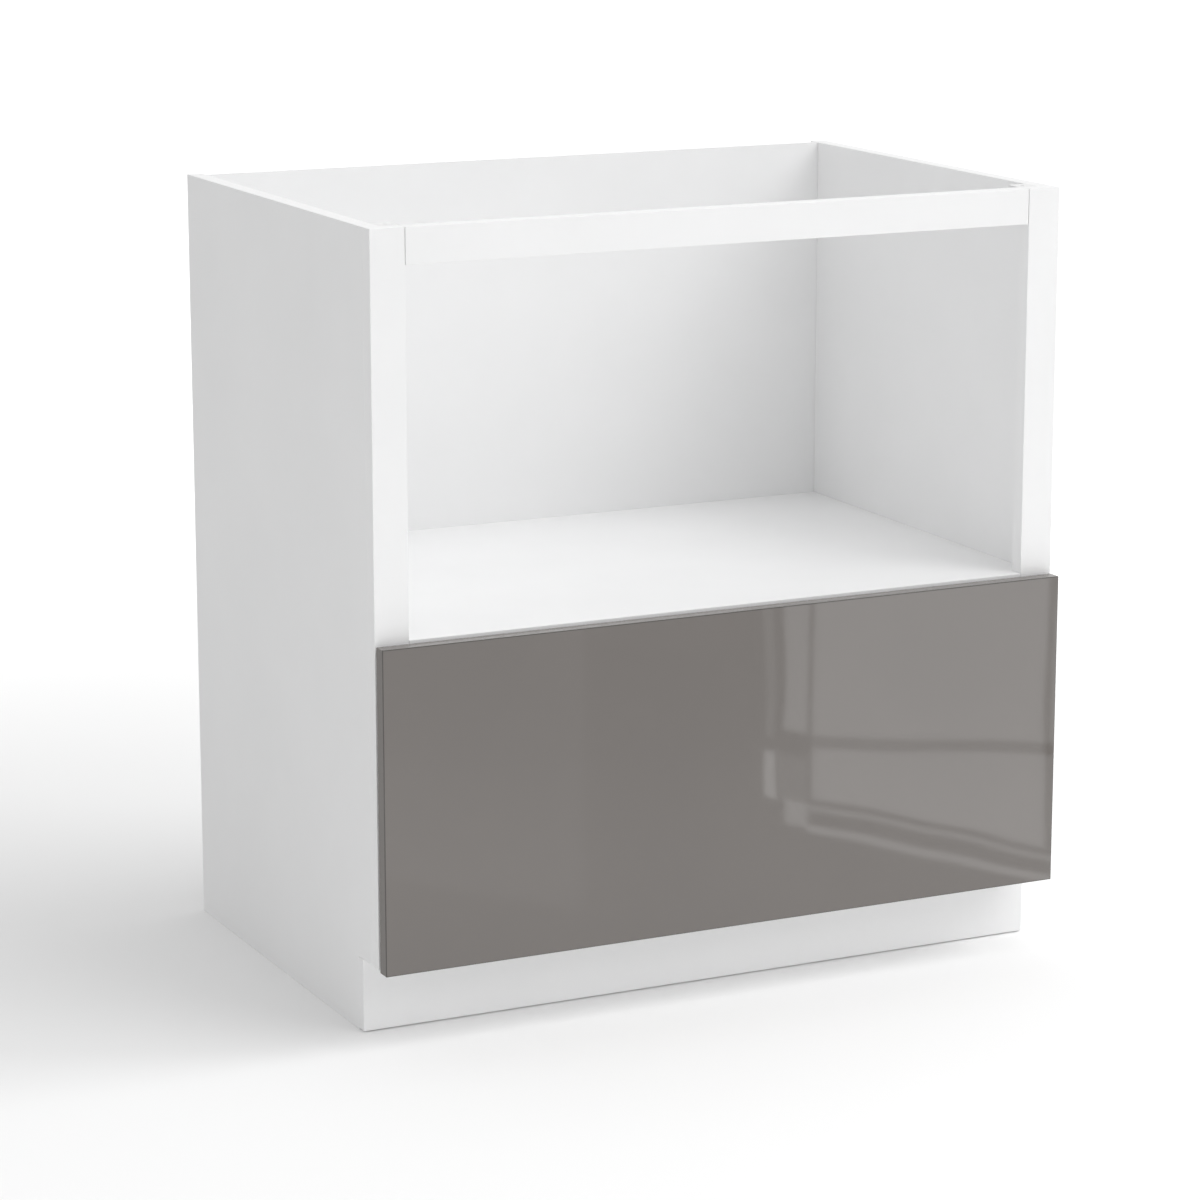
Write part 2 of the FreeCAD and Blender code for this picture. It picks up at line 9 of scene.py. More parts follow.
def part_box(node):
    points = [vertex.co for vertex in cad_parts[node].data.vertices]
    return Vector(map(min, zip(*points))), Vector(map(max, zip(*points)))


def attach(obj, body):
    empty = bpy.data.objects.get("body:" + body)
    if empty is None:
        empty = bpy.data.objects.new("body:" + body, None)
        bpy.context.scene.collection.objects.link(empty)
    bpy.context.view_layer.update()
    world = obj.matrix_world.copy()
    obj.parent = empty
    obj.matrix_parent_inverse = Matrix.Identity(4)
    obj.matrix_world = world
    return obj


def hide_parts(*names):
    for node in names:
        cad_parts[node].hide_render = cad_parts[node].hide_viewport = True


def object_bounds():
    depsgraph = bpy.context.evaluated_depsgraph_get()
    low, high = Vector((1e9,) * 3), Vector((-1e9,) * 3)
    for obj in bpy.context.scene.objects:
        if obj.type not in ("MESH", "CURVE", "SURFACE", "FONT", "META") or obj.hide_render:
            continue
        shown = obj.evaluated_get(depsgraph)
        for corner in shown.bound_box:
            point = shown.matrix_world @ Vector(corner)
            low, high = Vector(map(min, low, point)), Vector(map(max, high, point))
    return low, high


# Looks of a microwave base cabinet: white melamine boards, a high-gloss grey drawer front, steel runners.
# Metres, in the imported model's own frame: +X right, +Y back, +Z up.

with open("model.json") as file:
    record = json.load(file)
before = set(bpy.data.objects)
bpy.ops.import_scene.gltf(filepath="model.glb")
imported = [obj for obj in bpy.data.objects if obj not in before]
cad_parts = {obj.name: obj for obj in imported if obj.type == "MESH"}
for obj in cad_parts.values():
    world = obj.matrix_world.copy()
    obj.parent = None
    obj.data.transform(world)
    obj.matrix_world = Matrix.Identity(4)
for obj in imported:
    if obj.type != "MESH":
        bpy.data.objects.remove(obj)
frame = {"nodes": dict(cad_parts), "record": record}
cad_low, cad_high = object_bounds()

SIDES = {"left": -1, "right": 1}

# Camera, worked out from the photograph's perspective
CAMERA_PLACE = (-1.8876, -3.8378, 1.3478)
CAMERA_YAW = math.radians(25.88)
CAMERA_PITCH = math.radians(12.75)
CAMERA_LENS = 118.6
CAMERA_REACH = 200.0

# Light on the cabinet: even from all round, a key lamp on the front right, and a lamp above
WORLD_LIGHT = 0.66
KEY_PLACE = (5.11, -6.79, 6.55)
KEY_SIZE = 6.16
KEY_POWER = 290.0
TOP_PLACE = (1.6, -0.5, 7.6)
TOP_SIZE = 5.6
TOP_POWER = 130.0

# Floor: a lamp of its own, low on the right, and a glow to the eye far away, where the lamps no longer reach
FLOOR_LAMP_PLACE = (5.5, -1.5, 3.7)
FLOOR_LAMP_TARGET = (0.0, 0.0, 0.0)
FLOOR_LAMP_SIZE = 3.0
FLOOR_LAMP_POWER = 205.0
FLOOR_SIZE = 60.0
FLOOR_ALBEDO = 0.8
NEAR_GLOW = 0.06
FAR_GLOW = 0.6
GLOW_START = 0.9
GLOW_END = 3.4

# The room that polished surfaces mirror. Heights in it are tangents of the angle above the horizon.
# The front half has a wall of windows and a floor that is paler nearby.
# The back half has a dim floor and a pale wall.
# A half fades in from the sides, and is whole where a direction's forward or backward part is SIDE_FADE.
ROOM_LIGHT = 0.7
SIDE_FADE = 0.15
PALE_FLOOR_LIGHT = 0.42
PALE_FLOOR_NEAR = -0.305
PALE_FLOOR_FAR = -0.235
BACK_FLOOR_LIGHT = 0.5
BACK_WALL_LIGHT = 1.0
BACK_FLOOR_EDGE = -0.12
BACK_WALL_EDGE = 0.06

# Windows stand side by side, in rows, up to the top of the front wall.
# A patch of a window has columns (degrees from the window's left edge), rows (heights in the lowest row of
# windows), the slope of its rows, and how much brighter than the room it is.
WALL_TOP = 0.06
WALL_TOP_SOFTNESS = 0.03
WINDOW_START = math.radians(28.3)
WINDOW_PERIOD = math.radians(15.5)
WINDOW_ROW = 0.2
ROW_LOW = -0.31
WINDOW_FOOT = -0.279
WINDOW_SILL = -0.2768
WINDOW_HEAD = -0.13
SILL_SLOPE = 0.19
EDGE_SOFTNESS = math.radians(0.04)
WINDOW_PATCHES = {
    "outer_frame": ((0.03, 0.18), (-0.262, WINDOW_HEAD), SILL_SLOPE, 0.6),
    "outer_frame_foot": ((0.03, 0.22), (WINDOW_FOOT, -0.2659), SILL_SLOPE, 2.1),
    "inner_frame": ((0.34, 0.71), (-0.2595, WINDOW_HEAD), SILL_SLOPE, 1.55),
    "inner_frame_foot": ((0.26, 0.71), (WINDOW_FOOT, -0.2659), SILL_SLOPE, 0.5),
    "first_pane": ((0.78, 4.22), (WINDOW_SILL, WINDOW_HEAD), SILL_SLOPE, 1.68),
    "second_pane": ((4.34, 7.7), (WINDOW_SILL, WINDOW_HEAD), SILL_SLOPE, 1.68),
    "transom": ((0.78, 7.7), (-0.2657, -0.2623), 0.0, -1.2),
    "sill_corner": ((0.36, 0.72), (-0.2848, -0.2785), SILL_SLOPE, 1.6),
    "sill_edge": ((0.72, 7.9), (-0.2800, -0.2784), SILL_SLOPE, 1.4),
    "sill_nose": ((0.72, 7.9), (-0.2861, -0.2839), SILL_SLOPE, 1.7),
    "lit_wall": ((8.0, 12.85), (-0.268, WINDOW_HEAD), SILL_SLOPE, 0.2),
}

# A noise keeps near its middle, so a colour starts and ends at these values of it
PATTERN_LOW = 0.3
PATTERN_HIGH = 0.7

# Grain of metals and wood: how fine it is along each axis
ROLLED_GRAIN = (900.0, 6.0, 900.0)
POLISHED_GRAIN = (400.0, 400.0, 400.0)
CAST_GRAIN = (600.0, 600.0, 600.0)
BEECH_GRAIN = (120.0, 500.0, 500.0)

# How far a metal's roughness runs below and above its middle
METAL_SMOOTHER = 0.06
METAL_ROUGHER = 0.08

# Painted shade on the drawer front: a dark line along its front arrises, where its edging meets its face
ARRIS_SHADE_WIDTH = 0.0009
ARRIS_SHADE_SOFTNESS = 0.0001
ARRIS_SHADE_SHARE = 0.45

# Meshes of small pieces
MERGE_DISTANCE = 1e-7
SHARP_ANGLE = math.radians(40)

# Screws: pan heads that stand on what they hold, and flat heads that lie in it.
# ROUNDING_CUT is the share of a rounding that is gone at the middle of its arc.
# CROSS_LEAST_FLOOR is the least share of a head's height that its recess leaves.
PAN_RADIUS = 0.0036
PAN_HEIGHT = 0.0022
FLAT_RADIUS = 0.0034
FLAT_HEIGHT = 0.0004
HEAD_STEPS = 24
HEAD_ROUNDING = 0.0008
ROUNDING_CUT = 0.3
CROSS_LENGTH = 0.0042
CROSS_WIDTH = 0.0009
CROSS_DEPTH = 0.0012
CROSS_LEAST_FLOOR = 0.25
CROSS_ARM_POWER = 6

# Where screws sit on the pieces that they hold
RUNNER_SHEET = 0.0012
RUNNER_HOLE_MARGIN = 0.035
RUNNER_HOLE_RADIUS = 0.0021
RUNNER_HEAD_HEIGHT = 0.0011
BATTEN_SCREW_MARGIN = 0.06
BATTEN_SCREW_DROP = 0.009
BRACKET_SHEET = 0.002
BRACKET_SCREW_LIFT = 0.0085
EAR_THICKNESS = 0.003
EAR_SCREW_OFFSET = 0.0125
PLINTH_BRACKET_SHEET = 0.003
PLINTH_SCREW_OFFSET = 0.011
PLINTH_SCREW_MARGIN = 0.01
BOX_BOARD = 0.015
BOX_SCREW_MARGIN = 0.025
BACK_SCREW_MARGIN = 0.03
BACK_SCREW_COLUMNS = 5
FRONT_SCREW_COLUMNS = (-0.26, 0.26)
FRONT_SCREW_MARGIN = 0.045

# Balls of the runners
BALLS_PER_ROW = 4
BALL_SEGMENTS = 20
BALL_RINGS = 12


# Materials


class Wiring:
    """A node tree being built."""

    def __init__(self, tree):
        self.tree = tree

    def add(self, kind, **values):
        """A new node, with some of its properties set."""
        node = self.tree.nodes.new(kind)
        for name, value in values.items():
            setattr(node, name, value)
        return node

    def link(self, output, target):
        """A link from an output to an input."""
        self.tree.links.new(output, target)

    def maths(self, operation, *values):
        """A sum, product or other step on numbers and outputs of other nodes."""
        node = self.add("ShaderNodeMath", operation=operation)
        for value, target in zip(values, node.inputs):
            if isinstance(value, (int, float)):
                target.default_value = value
            else:
                self.link(value, target)
        return node.outputs["Value"]

    def ramp(self, value, start, end, low, high):
        """A soft step from low to high, as the value goes from start to end."""
        node = self.add("ShaderNodeMapRange", interpolation_type="SMOOTHSTEP")
        for name, number in zip(("From Min", "From Max", "To Min", "To Max"), (start, end, low, high)):
            node.inputs[name].default_value = number
        self.link(value, node.inputs["Value"])
        return node.outputs["Result"]

    def band(self, value, low, high, softness):
        """1 from low to high and 0 outside, with soft edges."""
        rise = self.ramp(value, low - softness, low + softness, 0.0, 1.0)
        fall = self.ramp(value, high - softness, high + softness, 1.0, 0.0)
        return self.maths("MULTIPLY", rise, fall)

    def seen(self, kinds):
        """1 for rays of these kinds and 0 for the rest."""
        path = self.add("ShaderNodeLightPath")
        found = 0.0
        for kind in kinds:
            found = self.maths("MAXIMUM", found, path.outputs[f"Is {kind} Ray"])
        return found


class Surface(Wiring):
    """A material being built: its shader and a few ways to drive it from patterns."""

    def __init__(self, name):
        self.material = bpy.data.materials.new(name)
        self.material.use_nodes = True
        super().__init__(self.material.node_tree)
        self.shader = self.tree.nodes["Principled BSDF"]
        self.place = self.add("ShaderNodeTexCoord").outputs["Object"]

    def stretch(self, scale):
        """Places in the object's frame, stretched along its axes."""
        mapping = self.add("ShaderNodeMapping")
        mapping.inputs["Scale"].default_value = scale
        self.link(self.place, mapping.inputs["Vector"])
        return mapping.outputs["Vector"]

    def noise(self, scale, detail=2.0, place=None):
        """A cloudy pattern, at places in the object's frame unless others are given."""
        node = self.add("ShaderNodeTexNoise")
        node.inputs["Scale"].default_value = scale
        node.inputs["Detail"].default_value = detail
        self.link(self.place if place is None else place, node.inputs["Vector"])
        return node.outputs["Fac"]

    def colours(self, pattern, low, high):
        """Colour from low to high, following a pattern."""
        ramp = self.add("ShaderNodeValToRGB")
        stops = ((PATTERN_LOW, low), (PATTERN_HIGH, high))
        for element, (position, colour) in zip(ramp.color_ramp.elements, stops):
            element.position = position
            element.color = (*colour, 1.0)
        self.link(pattern, ramp.inputs["Fac"])
        self.link(ramp.outputs["Color"], self.shader.inputs["Base Color"])

    def darken(self, mask, share):
        """Takes the colour down to a share of itself where a mask is 1."""
        socket = self.shader.inputs["Base Color"]
        colour = socket.links[0].from_socket
        scaled = self.add("ShaderNodeVectorMath", operation="SCALE")
        self.link(colour, scaled.inputs[0])
        self.link(self.ramp(mask, 0.0, 1.0, 1.0, share), scaled.inputs["Scale"])
        self.link(scaled.outputs["Vector"], socket)

    def roughness(self, pattern, low, high):
        """Roughness from low to high, following a pattern."""
        node = self.add("ShaderNodeMapRange")
        node.inputs["To Min"].default_value = low
        node.inputs["To Max"].default_value = high
        self.link(pattern, node.inputs["Value"])
        self.link(node.outputs["Result"], self.shader.inputs["Roughness"])

    def relief(self, pattern, height, under=None):
        """Bumps of a height, on top of an earlier relief."""
        node = self.add("ShaderNodeBump")
        node.inputs["Distance"].default_value = height
        self.link(pattern, node.inputs["Height"])
        if under is not None:
            self.link(under, node.inputs["Normal"])
        self.link(node.outputs["Normal"], self.shader.inputs["Normal"])
        return node.outputs["Normal"]


def board_material(name, low, high):
    """White melamine: a satin face with a fine pebble and a faint cloudiness."""
    surface = Surface(name)
    surface.colours(surface.noise(scale=7.0, detail=4.0), low, high)
    surface.roughness(surface.noise(scale=60.0, detail=3.0), low=0.36, high=0.46)
    broad = surface.relief(surface.noise(scale=260.0, detail=1.0), height=0.00002)
    surface.relief(surface.noise(scale=1100.0), height=0.00003, under=broad)
    surface.shader.inputs["Specular IOR Level"].default_value = 0.4
    return surface.material


def arris_shade_mask(surface, node):
    """Mask of painted shade: 1 along the front arrises of a slab, where its edging meets its face, and 0
    elsewhere.
    """
    low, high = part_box(node)
    axes = surface.add("ShaderNodeSeparateXYZ")
    surface.link(surface.place, axes.inputs[0])

    def inside(axis, start, end):
        return surface.band(axes.outputs[axis], start, end, ARRIS_SHADE_SOFTNESS)

    near_front = inside("Y", low.y - ARRIS_SHADE_WIDTH, low.y + ARRIS_SHADE_WIDTH)
    off_ends = inside("X", low.x + ARRIS_SHADE_WIDTH, high.x - ARRIS_SHADE_WIDTH)
    off_edges = inside("Z", low.z + ARRIS_SHADE_WIDTH, high.z - ARRIS_SHADE_WIDTH)
    rim = surface.maths("SUBTRACT", 1.0, surface.maths("MULTIPLY", off_ends, off_edges))
    return surface.maths("MULTIPLY", near_front, rim)


def lacquer_material():
    """High-gloss warm grey lacquer: a mirror with a slight waviness, a fine orange peel, and painted shade
    along its front arrises.
    """
    surface = Surface("grey_gloss_lacquer")
    clouds = surface.noise(scale=4.0, detail=3.0)
    surface.colours(clouds, low=(0.175, 0.161, 0.151), high=(0.185, 0.170, 0.159))
    # Painted shade: the colour is darkened to a dark line along the drawer front's arrises
    surface.darken(arris_shade_mask(surface, "drawer_front"), ARRIS_SHADE_SHARE)
    surface.roughness(surface.noise(scale=25.0, detail=3.0), low=0.012, high=0.024)
    broad = surface.relief(surface.noise(scale=11.0, detail=0.0), height=0.00004)
    surface.relief(surface.noise(scale=420.0, detail=1.0), height=0.0000004, under=broad)
    surface.shader.inputs["IOR"].default_value = 1.5
    return surface.material


def metal_material(name, low, high, roughness, grain):
    """Steel or zinc, with a pattern stretched along its grain."""
    surface = Surface(name)
    streaks = surface.noise(scale=1.0, detail=3.0, place=surface.stretch(grain))
    surface.colours(streaks, low, high)
    surface.roughness(streaks, roughness - METAL_SMOOTHER, roughness + METAL_ROUGHER)
    surface.relief(streaks, height=0.00001)
    surface.shader.inputs["Metallic"].default_value = 1.0
    return surface.material


def paint_material():
    """White powder coat, with its orange peel."""
    surface = Surface("white_powder_coat")
    surface.colours(surface.noise(scale=120.0), low=(0.80, 0.80, 0.80), high=(0.85, 0.85, 0.85))
    surface.roughness(surface.noise(scale=500.0), low=0.32, high=0.45)
    surface.relief(surface.noise(scale=900.0, detail=1.0), height=0.00006)
    return surface.material


def plastic_material(name, low, high):
    """Moulded plastic with a fine spark-eroded grain."""
    surface = Surface(name)
    surface.colours(surface.noise(scale=80.0, detail=3.0), low, high)
    surface.roughness(surface.noise(scale=300.0), low=0.42, high=0.58)
    surface.relief(surface.noise(scale=2400.0, detail=1.0), height=0.00004)
    return surface.material


def beech_material():
    """Beech, with its short flecks along the grain."""
    surface = Surface("beech")
    flecks = surface.noise(scale=1.0, detail=5.0, place=surface.stretch(BEECH_GRAIN))
    surface.colours(flecks, low=(0.48, 0.30, 0.16), high=(0.66, 0.47, 0.29))
    surface.roughness(surface.noise(scale=700.0), low=0.5, high=0.7)
    surface.relief(surface.noise(scale=900.0), height=0.00005)
    return surface.material


MATERIALS = {
    "white_board": board_material("white_melamine", (0.884, 0.886, 0.888), (0.906, 0.907, 0.909)),
    "drawer_board": board_material("drawer_melamine", (0.79, 0.79, 0.785), (0.82, 0.82, 0.815)),
    "grey_front": lacquer_material(),
    "runner_steel": metal_material(
        "zinc_plated_steel", (0.50, 0.51, 0.53), (0.66, 0.67, 0.69), roughness=0.32, grain=ROLLED_GRAIN
    ),
    "cage_steel": metal_material(
        "strip_steel", (0.42, 0.43, 0.45), (0.56, 0.57, 0.59), roughness=0.36, grain=ROLLED_GRAIN
    ),
    "ball_steel": metal_material(
        "polished_steel", (0.70, 0.70, 0.71), (0.78, 0.78, 0.79), roughness=0.12, grain=POLISHED_GRAIN
    ),
    "cam_zinc": metal_material(
        "die_cast_zinc", (0.45, 0.45, 0.46), (0.58, 0.58, 0.59), roughness=0.42, grain=CAST_GRAIN
    ),
    "bracket_white": paint_material(),
    "fitting_plastic": plastic_material("light_grey_plastic", (0.60, 0.61, 0.62), (0.68, 0.69, 0.70)),
    "plunger_plastic": plastic_material("grey_plastic", (0.27, 0.28, 0.29), (0.34, 0.35, 0.36)),
    "dowel_wood": beech_material(),
}


def dress_nodes():
    """Gives each node of the model the material of its slot."""
    for subpart in frame["record"]["subparts"]:
        slots = frame["nodes"][subpart["node"]].data.materials
        slots.clear()
        slots.append(MATERIALS[subpart["material_slot"]])


# Small fasteners and balls


def add_piece(name, work, body, slot):
    """Turns a finished bmesh into a piece that rides on a body."""
    bmesh.ops.remove_doubles(work, verts=work.verts, dist=MERGE_DISTANCE)
    bmesh.ops.dissolve_degenerate(work, edges=work.edges, dist=MERGE_DISTANCE)
    bmesh.ops.recalc_face_normals(work, faces=work.faces)
    for face in work.faces:
        face.smooth = True
    mesh = bpy.data.meshes.new(name)
    work.to_mesh(mesh)
    work.free()
    mesh.set_sharp_from_angle(angle=SHARP_ANGLE)
    mesh.materials.append(MATERIALS[slot])
    piece = bpy.data.objects.new(name, mesh)
    bpy.context.scene.collection.objects.link(piece)
    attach(piece, body)
    return piece


def add_head(work, place, radius, height):
    """A round screw head on a place, along its +Z, with a rounded rim and a crossed recess."""
    rounding = min(HEAD_ROUNDING, height / 2)
    cut = rounding * ROUNDING_CUT
    floor = max(height - CROSS_DEPTH, height * CROSS_LEAST_FLOOR)
    turned = [
        (0.0, floor),
        (CROSS_WIDTH / 2, floor),
        (CROSS_WIDTH, height),
        (radius - rounding, height),
        (radius - cut, height - cut),
        (radius, height - rounding),
        (radius, 0.0),
        (0.0, 0.0),
    ]
    recess = (1, 2)
    rings = []
    for step in range(HEAD_STEPS):
        turn = 2 * math.pi * step / HEAD_STEPS
        arm = (CROSS_LENGTH / 2 - CROSS_WIDTH) * abs(math.cos(2 * turn)) ** CROSS_ARM_POWER
        ring = []
        for index, (across, up) in enumerate(turned):
            reach = across + arm if index in recess else across
            point = Vector((reach * math.cos(turn), reach * math.sin(turn), up))
            ring.append(work.verts.new(place @ point))
        rings.append(ring)
    for here, there in zip(rings, rings[1:] + rings[:1]):
        for index in range(len(turned) - 1):
            work.faces.new((here[index], here[index + 1], there[index + 1], there[index]))


def facing(point, direction):
    """A frame at a point whose +Z looks along a direction."""
    turn = Vector(direction).to_track_quat("Z", "Y").to_matrix().to_4x4()
    return Matrix.Translation(Vector(point)) @ turn


def add_screws(name, points, direction, body, radius=PAN_RADIUS, height=PAN_HEIGHT):
    """Screw heads at several points of one body, as one piece."""
    work = bmesh.new()
    for point in points:
        add_head(work, facing(point, direction), radius, height)
    return add_piece(name, work, body, "runner_steel")


def grid(across, along, up):
    """Every point with an X, a Y and a Z from three lists."""
    return [(x, y, z) for x in across for y in along for z in up]


def evenly(first, last, count):
    """Places at even steps, with both ends."""
    return [first + (last - first) * step / (count - 1) for step in range(count)]


def runner_screws(name, side):
    """Screws of a runner's cabinet and drawer members, and of the batten behind it."""
    inward = (-side, 0, 0)
    outward = (side, 0, 0)
    low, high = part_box(f"runner_cabinet_member_{name}")
    rows = (low.y + RUNNER_HOLE_MARGIN, high.y - RUNNER_HOLE_MARGIN)
    level = (low.z + high.z) / 2
    mount_x = high.x if side > 0 else low.x
    points = grid([mount_x], rows, [level])
    add_screws(
        f"cabinet_runner_screws_{name}", points, inward, "carcass", RUNNER_HOLE_RADIUS, RUNNER_HEAD_HEIGHT
    )
    low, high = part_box(f"runner_drawer_member_{name}")
    web_x = low.x + RUNNER_SHEET if side > 0 else high.x - RUNNER_SHEET
    points = grid([web_x], rows, [level])
    add_screws(f"drawer_runner_screws_{name}", points, outward, "drawer")
    low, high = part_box(f"spacer_batten_{name}")
    rows = (low.y + BATTEN_SCREW_MARGIN, high.y - BATTEN_SCREW_MARGIN)
    points = grid([mount_x], rows, [high.z - BATTEN_SCREW_DROP])
    add_screws(f"batten_screws_{name}", points, inward, "carcass", FLAT_RADIUS, FLAT_HEIGHT)


def corner_bracket_screw(name, side):
    """The screw of a corner bracket, through its leg into the side panel."""
    low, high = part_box(f"corner_bracket_{name}")
    leg_x = high.x - BRACKET_SHEET if side > 0 else low.x + BRACKET_SHEET
    point = (leg_x, (low.y + high.y) / 2, low.z + BRACKET_SCREW_LIFT)
    add_screws(f"corner_bracket_screw_{name}", [point], (-side, 0, 0), "carcass")


def catch_screws(name):
    """Screws through the ears of a catch, up into the shelf."""
    low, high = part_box(f"catch_housing_{name}")
    centre = (low + high) / 2
    columns = (centre.x - EAR_SCREW_OFFSET, centre.x + EAR_SCREW_OFFSET)
    points = grid(columns, [centre.y], [high.z - EAR_THICKNESS])
    add_screws(f"catch_screws_{name}", points, (0, 0, -1), "carcass")


def plinth_bracket_screws(name):
    """Screws of a plinth bracket, forward into the plinth and up into the bottom panel."""
    low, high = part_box(f"plinth_bracket_{name}")
    centre = (low + high) / 2
    columns = (centre.x - PLINTH_SCREW_OFFSET, centre.x + PLINTH_SCREW_OFFSET)
    points = grid(columns, [low.y + PLINTH_BRACKET_SHEET], [low.z + PLINTH_SCREW_MARGIN])
    add_screws(f"plinth_screws_{name}", points, (0, 1, 0), "carcass")
    points = grid(columns, [high.y - PLINTH_SCREW_MARGIN], [high.z - PLINTH_BRACKET_SHEET])
    add_screws(f"plinth_bracket_screws_{name}", points, (0, 0, -1), "carcass")


def box_screws(name, side):
    """Flat screws through a side of the drawer box into its front and back boards."""
    low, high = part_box(f"drawer_side_{name}")
    face_x = high.x if side > 0 else low.x
    rows = (low.y + BOX_BOARD / 2, high.y - BOX_BOARD / 2)
    levels = (low.z + BOX_SCREW_MARGIN, high.z - BOX_SCREW_MARGIN)
    points = grid([face_x], rows, levels)
    add_screws(f"box_screws_{name}", points, (side, 0, 0), "drawer", FLAT_RADIUS, FLAT_HEIGHT)


def back_panel_screws():
    """Screws through the back panel into the bottom panel and the shelf."""
    levels = []
    for board in ("bottom_panel", "microwave_shelf"):
        low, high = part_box(board)
        levels.append((low.z + high.z) / 2)
    low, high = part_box("back_panel")
    columns = evenly(low.x + BACK_SCREW_MARGIN, high.x - BACK_SCREW_MARGIN, BACK_SCREW_COLUMNS)
    add_screws("back_panel_screws", grid(columns, [high.y], levels), (0, 1, 0), "carcass")


def drawer_front_screws():
    """Screws from inside the drawer box into the drawer front."""
    low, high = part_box("drawer_box_front")
    levels = (low.z + FRONT_SCREW_MARGIN, high.z - FRONT_SCREW_MARGIN)
    add_screws("drawer_front_screws", grid(FRONT_SCREW_COLUMNS, [high.y], levels), (0, 1, 0), "drawer")


def round_balls(level, name):
    """Smooth balls in place of a runner's balls with flats."""
    node = f"runner_{level}_balls_{name}"
    low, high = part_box(node)
    radius = (high.x - low.x) / 2
    rows = evenly(low.y + radius, high.y - radius, BALLS_PER_ROW)
    work = bmesh.new()
    for point in grid([(low.x + high.x) / 2], rows, (low.z + radius, high.z - radius)):
        bmesh.ops.create_uvsphere(
            work,
            u_segments=BALL_SEGMENTS,
            v_segments=BALL_RINGS,
            radius=radius,
            matrix=Matrix.Translation(Vector(point)),
        )
    piece = add_piece(f"round_{level}_balls_{name}", work, f"{level}_cage_{name}", "ball_steel")
    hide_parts(node)


def add_small_pieces():
    """All screws and balls."""
    for name, side in SIDES.items():
        runner_screws(name, side)
        corner_bracket_screw(name, side)
        catch_screws(name)
        plinth_bracket_screws(name)
        box_screws(name, side)
        for level in ("outer", "inner"):
            round_balls(level, name)
    back_panel_screws()
    drawer_front_screws()


# Stage


def make_floor():
    """A white floor that stays white to the eye and still takes the cabinet's shadow."""
    bpy.ops.mesh.primitive_plane_add(size=FLOOR_SIZE)
    floor = bpy.context.object
    floor.name = "floor"
    surface = Surface("white_floor")
    distance = surface.add("ShaderNodeVectorMath", operation="LENGTH")
    surface.link(surface.place, distance.inputs[0])
    glow = surface.ramp(distance.outputs["Value"], GLOW_START, GLOW_END, NEAR_GLOW, FAR_GLOW)
    shown = surface.maths("MULTIPLY", glow, surface.seen(("Camera", "Transmission")))
    surface.shader.inputs["Base Color"].default_value = (FLOOR_ALBEDO,) * 3 + (1.0,)
    surface.shader.inputs["Roughness"].default_value = 1.0
    surface.shader.inputs["Specular IOR Level"].default_value = 0.0
    surface.shader.inputs["Emission Color"].default_value = (1.0, 1.0, 1.0, 1.0)
    surface.link(shown, surface.shader.inputs["Emission Strength"])
    floor.data.materials.append(surface.material)
    floor.visible_glossy = False
    return floor


def mirrored_windows(wiring, across, level):
    """How much the windows add to the mirrored room, at an angle from a window's left edge and a height."""
    windows = 0.0
    for (left_edge, right_edge), (low_edge, high_edge), slope, extra in WINDOW_PATCHES.values():
        slanted = wiring.maths("MULTIPLY_ADD", across, slope, level)
        height = wiring.maths("WRAP", slanted, ROW_LOW + WINDOW_ROW, ROW_LOW)
        columns = wiring.band(across, math.radians(left_edge), math.radians(right_edge), EDGE_SOFTNESS)
        rows = wiring.band(height, low_edge, high_edge, EDGE_SOFTNESS)
        windows = wiring.maths("MULTIPLY_ADD", wiring.maths("MULTIPLY", columns, rows), extra, windows)
    return windows


def mirrored_room(wiring):
    """The brightness that polished surfaces mirror from each direction."""
    direction = wiring.add("ShaderNodeSeparateXYZ")
    wiring.link(wiring.add("ShaderNodeTexCoord").outputs["Generated"], direction.inputs[0])
    right, back, up = direction.outputs
    front = wiring.maths("MULTIPLY", back, -1.0)
    turn = wiring.maths("ARCTAN2", right, front)
    across = wiring.maths("WRAP", turn, WINDOW_START + WINDOW_PERIOD, WINDOW_START)
    across = wiring.maths("SUBTRACT", across, WINDOW_START)
    right_square = wiring.maths("MULTIPLY", right, right)
    back_square = wiring.maths("MULTIPLY", back, back)
    flat_length = wiring.maths("SQRT", wiring.maths("ADD", right_square, back_square))
    level = wiring.maths("DIVIDE", up, flat_length)

    ahead = wiring.ramp(front, 0.0, SIDE_FADE, 0.0, 1.0)
    below_top = wiring.ramp(level, WALL_TOP, WALL_TOP + WALL_TOP_SOFTNESS, 1.0, 0.0)
    front_wall = wiring.maths("MULTIPLY", ahead, below_top)
    pale_floor = wiring.ramp(level, PALE_FLOOR_NEAR, PALE_FLOOR_FAR, PALE_FLOOR_LIGHT, 0.0)
    front_half = wiring.maths("ADD", pale_floor, ROOM_LIGHT)
    back_half = wiring.ramp(level, BACK_FLOOR_EDGE, BACK_WALL_EDGE, BACK_FLOOR_LIGHT, BACK_WALL_LIGHT)
    behind = wiring.ramp(back, 0.0, SIDE_FADE, 0.0, 1.0)
    change = wiring.maths("SUBTRACT", back_half, front_half)
    plain_room = wiring.maths("MULTIPLY_ADD", change, behind, front_half)
    return wiring.maths("MULTIPLY_ADD", mirrored_windows(wiring, across, level), front_wall, plain_room)


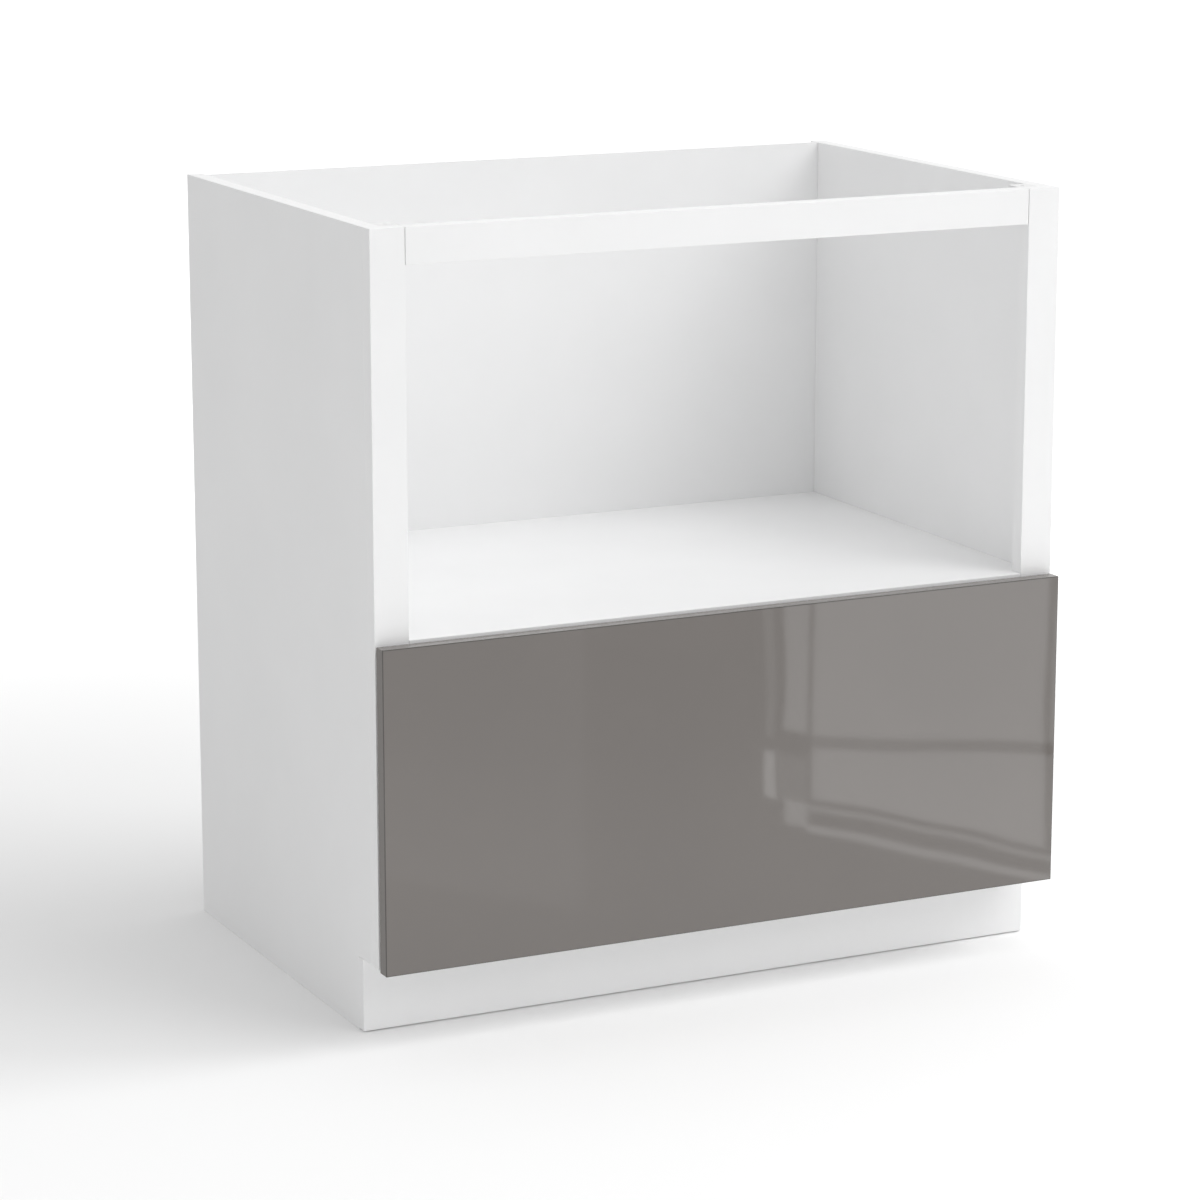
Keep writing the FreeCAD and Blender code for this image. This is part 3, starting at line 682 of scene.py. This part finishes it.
def make_world():
    """Even light from all round, white to the eye, with a room that polished surfaces mirror."""
    world = bpy.data.worlds.new("studio")
    bpy.context.scene.world = world
    world.use_nodes = True
    wiring = Wiring(world.node_tree)
    background = wiring.tree.nodes["Background"]
    lighting = wiring.ramp(wiring.seen(("Camera", "Transmission")), 0.0, 1.0, WORLD_LIGHT, 1.0)
    mirror = wiring.add("ShaderNodeMix", data_type="FLOAT")
    wiring.link(wiring.seen(("Glossy",)), mirror.inputs["Factor"])
    wiring.link(lighting, mirror.inputs["A"])
    wiring.link(mirrored_room(wiring), mirror.inputs["B"])
    background.inputs["Color"].default_value = (1.0, 1.0, 1.0, 1.0)
    wiring.link(mirror.outputs["Result"], background.inputs["Strength"])


def make_lamp(name, place, target, size, power):
    """A square lamp that looks at a target and isn't seen itself."""
    data = bpy.data.lights.new(name, "AREA")
    data.shape = "SQUARE"
    data.size = size
    data.energy = power
    lamp = bpy.data.objects.new(name, data)
    bpy.context.scene.collection.objects.link(lamp)
    lamp.location = place
    lamp.rotation_euler = (Vector(target) - Vector(place)).to_track_quat("-Z", "Y").to_euler()
    lamp.visible_camera = False
    return lamp


def light_floor(floor):
    """A lamp that lights the floor alone, for its brightness and the cabinet's shadow."""
    lamp = make_lamp("floor_lamp", FLOOR_LAMP_PLACE, FLOOR_LAMP_TARGET, FLOOR_LAMP_SIZE, FLOOR_LAMP_POWER)
    lit_by_it = bpy.data.collections.new("lit_by_floor_lamp")
    lit_by_it.objects.link(floor)
    lamp.light_linking.receiver_collection = lit_by_it


def make_camera():
    """The camera, level from side to side."""
    data = bpy.data.cameras.new("camera")
    data.lens = CAMERA_LENS
    data.clip_end = CAMERA_REACH
    camera = bpy.data.objects.new("camera", data)
    bpy.context.scene.collection.objects.link(camera)
    camera.location = CAMERA_PLACE
    camera.rotation_euler = (math.pi / 2 - CAMERA_PITCH, 0.0, -CAMERA_YAW)
    bpy.context.scene.camera = camera


def make_stage():
    """Floor, world, lamps and camera."""
    centre = (cad_low + cad_high) / 2
    floor = make_floor()
    make_world()
    key = make_lamp("key", KEY_PLACE, centre, KEY_SIZE, KEY_POWER)
    key.visible_glossy = False
    make_lamp("top", TOP_PLACE, centre, TOP_SIZE, TOP_POWER)
    light_floor(floor)
    make_camera()
    bpy.context.scene.view_settings.view_transform = "Standard"


dress_nodes()
add_small_pieces()
make_stage()
